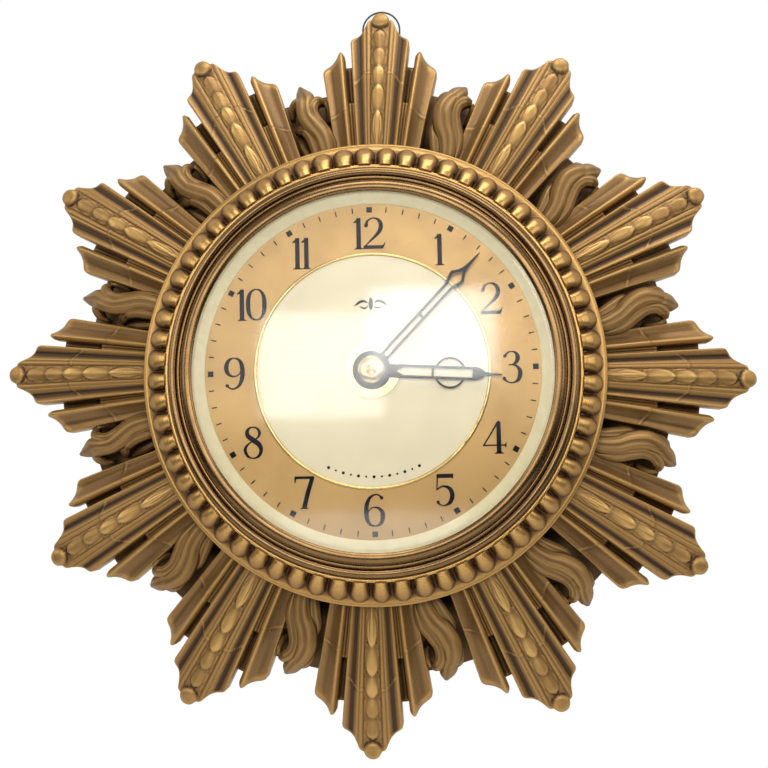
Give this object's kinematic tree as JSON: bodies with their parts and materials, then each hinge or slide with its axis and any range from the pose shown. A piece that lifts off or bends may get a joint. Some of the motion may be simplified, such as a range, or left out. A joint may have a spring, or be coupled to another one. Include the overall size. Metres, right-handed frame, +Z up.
{
  "type": "sunburst wall clock",
  "caption": "Wall clock with a cast sunburst surround, beaded ring, brass bezel, domed glass, pierced hands and a synchronous movement that is set from the back.",
  "frame": {"origin": "on the hands' axis at the wall plane", "axes": "+Z up, dial faces -Y, rear rim on the plane y = 0, +X to the right seen from the front"},
  "size_m": [0.395, 0.065, 0.3985],
  "materials": {
    "gilt_casting": "cast metal under worn bronze-gilt paint, dark brown in the recesses",
    "bezel_brass": "turned brass with a purple-brown patina",
    "lens_glass": "clear domed glass",
    "sight_paint": "satin olive-cream paint",
    "dial_gold": "satin copper-gold dial lacquer",
    "dial_champagne": "satin champagne dial lacquer",
    "border_brass": "polished brass wire",
    "print_ink": "blue-black printing ink",
    "hand_black": "semi-gloss black paint",
    "brass": "turned brass",
    "steel": "turned steel",
    "fibre": "red vulcanised fibre",
    "copper_can": "drawn copper-plated can",
    "lamination": "stacked silicon-steel laminations",
    "bobbin_plastic": "moulded bobbin",
    "winding": "varnished tape over the winding",
    "lead_cover": "insulated lead",
    "bakelite": "dark brown phenolic moulding",
    "cover_paint": "dark lacquered steel sheet",
    "grommet_rubber": "black rubber",
    "spring_bronze": "phosphor bronze sheet",
    "loop_wire": "dark green enamelled wire"
  },
  "bodies": {
    "case": {"sunburst_casting": "gilt_casting", "bezel_ring": "bezel_brass", "bezel_screws": "steel", "domed_lens": "lens_glass", "sight_ring": "sight_paint", "dial_plate": "dial_gold", "centre_disc": "dial_champagne", "centre_border": "border_brass", "hour_numerals": "print_ink", "minute_markers": "print_ink", "dial_ornament": "print_ink", "dial_nut": "brass", "dial_washer": "fibre", "centre_bush": "brass", "front_plate": "brass", "back_plate": "brass", "plate_pillars": "brass", "plate_screws": "steel", "plate_nuts": "brass", "minute_wheel_stud": "steel", "motor_can": "copper_can", "motor_core": "lamination", "motor_posts": "brass", "motor_screws": "steel", "coil_bobbin": "bobbin_plastic", "coil_winding": "winding", "coil_leads": "lead_cover", "terminal_block": "bakelite", "terminal_screws": "brass", "back_cover": "cover_paint", "back_cover_screws": "steel", "inlet_grommet": "grommet_rubber", "hanger_saddles": "steel", "saddle_screws": "steel"},
    "minute_train": {"centre_arbor": "steel", "cannon_pinion": "steel", "clutch_spring": "spring_bronze", "minute_hand": "hand_black", "minute_hand_collet": "hand_black", "hand_cap": "brass"},
    "hour_train": {"hour_wheel": "brass", "hour_hand": "hand_black"},
    "minute_wheel": {"minute_wheel": "brass"},
    "setting": {"setting_arbor": "steel", "setting_knob": "bakelite"},
    "motor_output": {"motor_pinion": "steel"},
    "train_1": {"train_wheel_1": "brass"},
    "train_2": {"train_wheel_2": "brass"},
    "centre_wheel": {"centre_wheel": "brass"},
    "loop": {"hanging_loop": "loop_wire"}
  },
  "joints": [
    {"name": "minute_hand_turn", "type": "hinge", "parent": "case", "child": "minute_train", "pos_m": [0, 0, 0], "axis": [0, 1, 0], "continuous": true},
    {"name": "hour_hand_turn", "type": "hinge", "parent": "case", "child": "hour_train", "pos_m": [0, 0, 0], "axis": [0, 1, 0], "continuous": true},
    {"name": "minute_wheel_turn", "type": "hinge", "parent": "case", "child": "minute_wheel", "pos_m": [-0.0003, 0, 0.01], "axis": [0, 1, 0], "continuous": true},
    {"name": "setting_knob_turn", "type": "hinge", "parent": "case", "child": "setting", "pos_m": [-0.00059, 0, 0.01999], "axis": [0, 1, 0], "continuous": true},
    {"name": "motor_turn", "type": "hinge", "parent": "case", "child": "motor_output", "pos_m": [0.00826, 0, -0.0165], "axis": [0, 1, 0], "continuous": true},
    {"name": "train_1_turn", "type": "hinge", "parent": "case", "child": "train_1", "pos_m": [-0.00399, 0, -0.01686], "axis": [0, 1, 0], "continuous": true},
    {"name": "train_2_turn", "type": "hinge", "parent": "case", "child": "train_2", "pos_m": [-0.01042, 0, -0.00644], "axis": [0, 1, 0], "continuous": true},
    {"name": "centre_wheel_turn", "type": "hinge", "parent": "case", "child": "centre_wheel", "pos_m": [0, 0, 0], "axis": [0, 1, 0], "continuous": true},
    {"name": "loop_swing", "type": "hinge", "parent": "case", "child": "loop", "pos_m": [0, -0.0011, 0.178], "axis": [-1, 0, 0], "range_deg": [0, 100]}
  ],
  "couplings": [
    {"joint": "hour_hand_turn", "follows": "minute_hand_turn", "ratio": 0.083333},
    {"joint": "minute_wheel_turn", "follows": "minute_hand_turn", "ratio": -0.33333},
    {"joint": "setting_knob_turn", "follows": "minute_hand_turn", "ratio": 1},
    {"joint": "train_1_turn", "follows": "motor_turn", "ratio": -0.16667},
    {"joint": "train_2_turn", "follows": "motor_turn", "ratio": 0.027778},
    {"joint": "centre_wheel_turn", "follows": "motor_turn", "ratio": -0.0046296}
  ]
}
